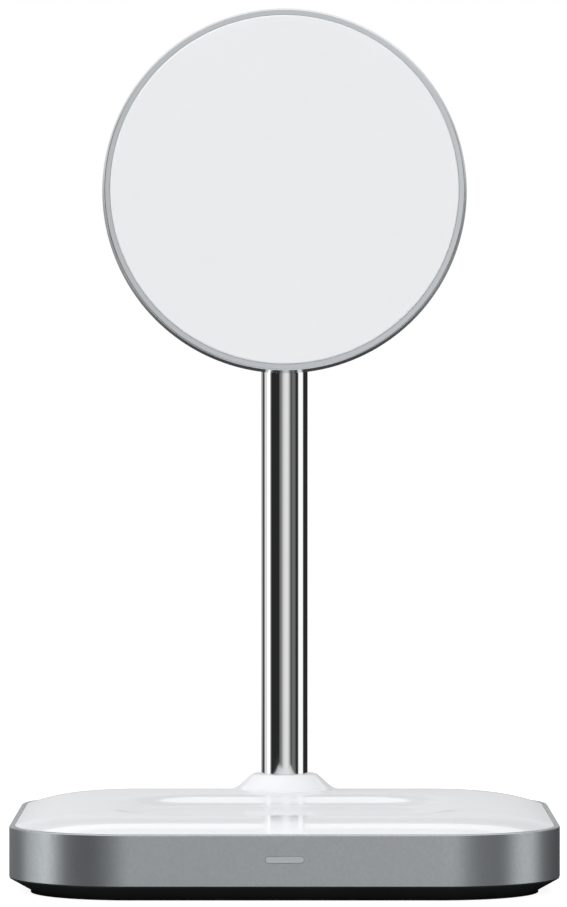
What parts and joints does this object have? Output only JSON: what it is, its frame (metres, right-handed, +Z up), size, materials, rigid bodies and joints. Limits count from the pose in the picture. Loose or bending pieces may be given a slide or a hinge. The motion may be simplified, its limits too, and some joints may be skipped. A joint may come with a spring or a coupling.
{
  "type": "two in one wireless charging stand",
  "caption": "Charging stand with a round magnetic phone head on a chrome stem that tilts, over a nearly square base with a dished deck for an earbud case.",
  "frame": {"origin": "middle of the base's footprint, on the table", "axes": "+Z up, -Y is the front that the head's face looks to, +X to the right seen from the front"},
  "size_m": [0.09, 0.0844, 0.1468],
  "materials": {
    "band_metal": "satin grey anodised",
    "head_metal": "satin grey anodised",
    "deck_white": "glossy white",
    "face_white": "soft white",
    "bottom_black": "fine matt black",
    "pad_rubber": "black rubber",
    "stem_chrome": "polished",
    "steel": "plain",
    "screw_steel": "zinc plated",
    "board_green": "solder resist",
    "parts_black": "moulded",
    "insert_black": "moulded",
    "window_clear": "frosted light guide",
    "led_white": "moulded",
    "winding": "enamelled copper wire",
    "ferrite": "sintered",
    "magnet": "nickel plated",
    "cable_black": "smooth jacket",
    "plug_white": "moulded",
    "washer_grey": "moulded",
    "cap_grey": "satin grey",
    "tray_white": "moulded"
  },
  "bodies": {
    "stand": {"base_band": "band_metal", "top_deck": "deck_white", "bottom_plate": "bottom_black", "foot_pad": "pad_rubber", "case_screws": "screw_steel", "base_weight": "steel", "main_board": "board_green", "board_screws": "screw_steel", "board_components": "parts_black", "usb_socket_shell": "steel", "usb_socket_tongue": "insert_black", "led_window": "window_clear", "status_led": "led_white", "earbud_coil": "winding", "earbud_ferrite": "ferrite", "stem_tube": "stem_chrome", "stem_flange": "steel", "flange_screws": "screw_steel", "stem_cable": "cable_black", "cable_plug": "plug_white", "pivot_eye": "stem_chrome", "hinge_pin": "steel", "friction_washers": "washer_grey"},
    "head": {"head_housing": "head_metal", "head_face": "face_white", "coil_tray": "tray_white", "magnet_ring": "magnet", "magnet_yoke": "steel", "phone_coil": "winding", "phone_ferrite": "ferrite", "head_board": "board_green", "hinge_bracket": "head_metal", "hinge_caps": "cap_grey", "bracket_screws": "screw_steel", "head_lead": "cable_black"}
  },
  "joints": [
    {"name": "head_tilt", "type": "hinge", "parent": "stand", "child": "head", "pos_m": [0, 0.02925, 0.1157], "axis": [-1, 0, 0], "range_deg": [0, 45]}
  ]
}
